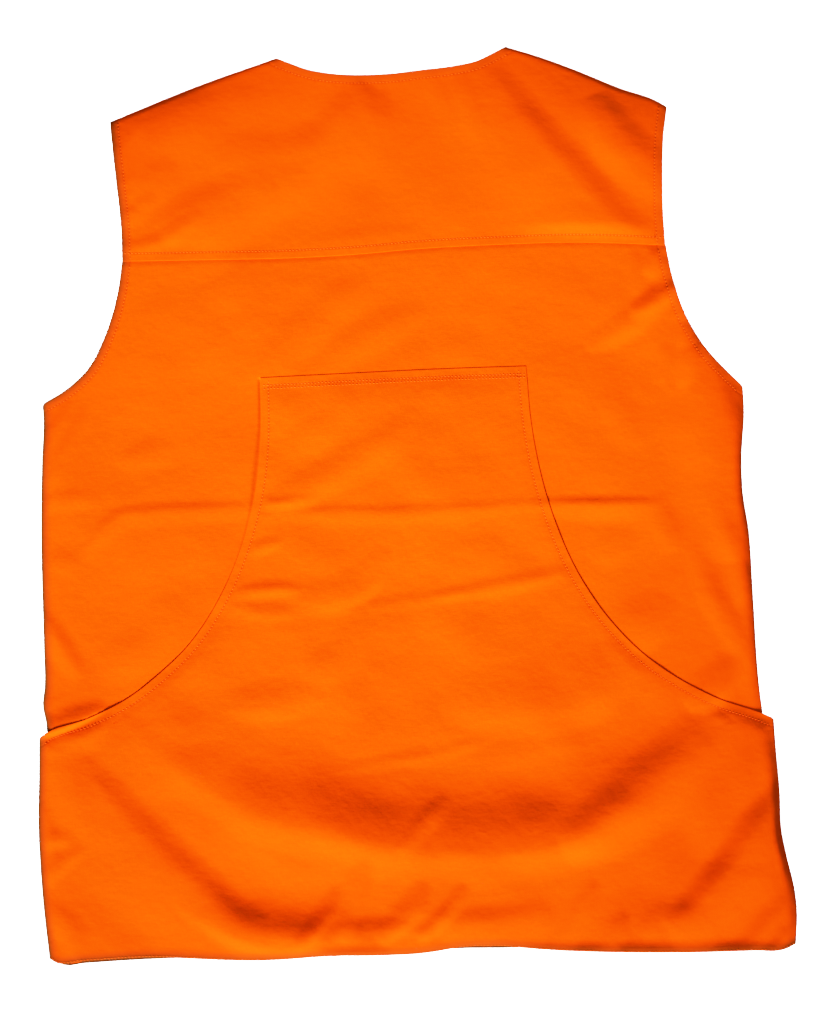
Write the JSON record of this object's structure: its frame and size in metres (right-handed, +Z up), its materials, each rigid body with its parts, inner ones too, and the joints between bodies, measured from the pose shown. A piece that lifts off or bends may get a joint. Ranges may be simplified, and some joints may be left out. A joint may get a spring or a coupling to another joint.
{
  "type": "high-visibility gilet",
  "caption": "Sleeveless orange twill work gilet laid flat with its back up: yoke, back body, large curved back pocket, and plain fronts underneath.",
  "frame": {"origin": "on the surface that the gilet lies on, under the middle of its outline", "axes": "+Y from the hem to the shoulders, +X to the right as seen from above the back, +Z up out of the back"},
  "size_m": [0.6216, 0.7514, 0.0114],
  "materials": {
    "orange_twill": "matt blaze-orange cotton twill, sewn with thread of the same orange"
  },
  "bodies": {
    "root": {"back_yoke": "orange_twill", "back_body": "orange_twill", "back_pocket": "orange_twill", "front_left": "orange_twill", "front_right": "orange_twill"}
  },
  "joints": []
}
